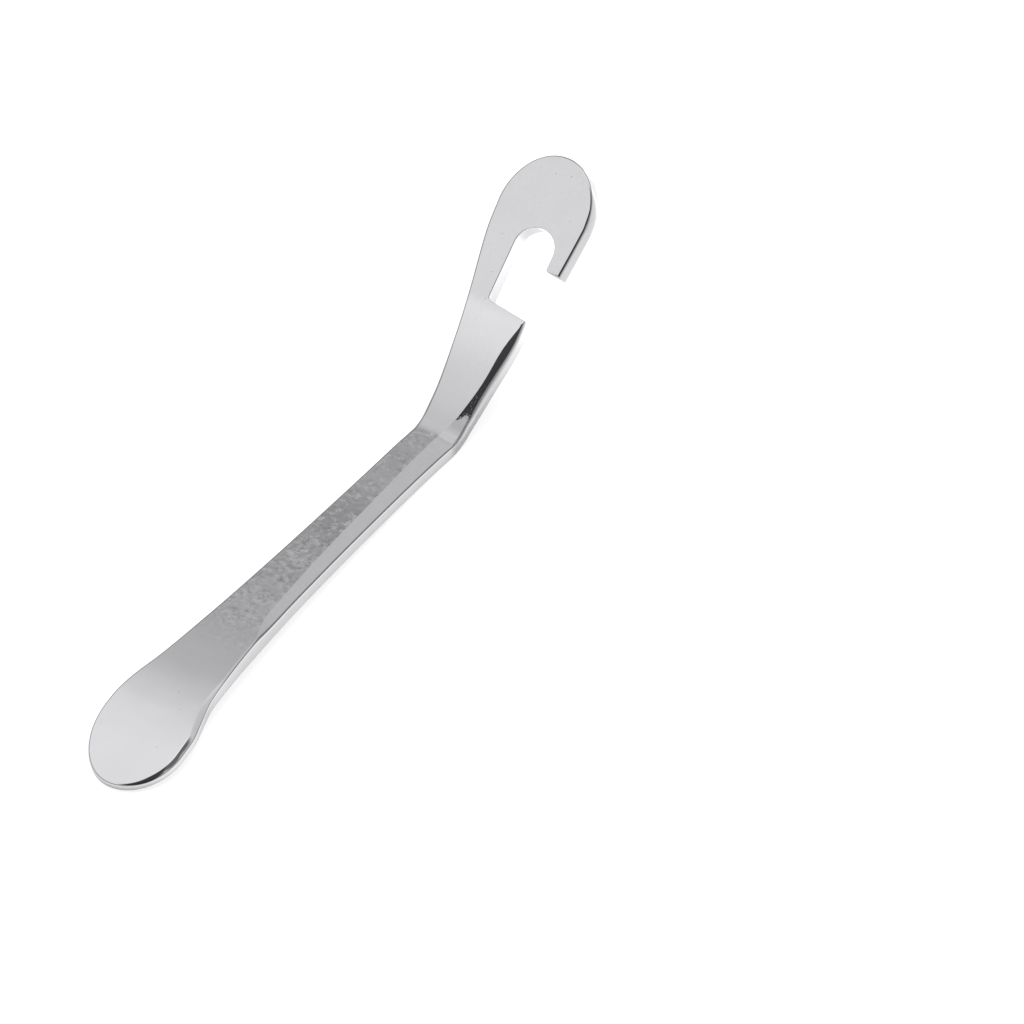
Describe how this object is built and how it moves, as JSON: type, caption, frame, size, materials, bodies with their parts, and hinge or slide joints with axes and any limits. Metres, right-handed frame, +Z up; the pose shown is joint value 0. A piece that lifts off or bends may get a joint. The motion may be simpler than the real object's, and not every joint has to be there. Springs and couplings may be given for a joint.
{
  "type": "tyre lever",
  "caption": "Chromed steel bicycle tyre lever: a curled spoon at one end, a slim shank, and a bent-up hook section with a side slot for a wheel spoke.",
  "frame": {"origin": "middle of the lever's outline on the table plane, with the lever at rest on its spoon tip and the underside of its bend", "axes": "+X from the spoon towards the hook, +Z up, and the spoke slot opens towards -Y"},
  "size_m": [0.1184, 0.0148, 0.0301],
  "materials": {
    "chromed_steel": "polished chrome plate over forged steel, with faint orange peel, pin-prick pits and fine handling scratches"
  },
  "bodies": {
    "root": {"tyre_lever": "chromed_steel"}
  },
  "joints": []
}
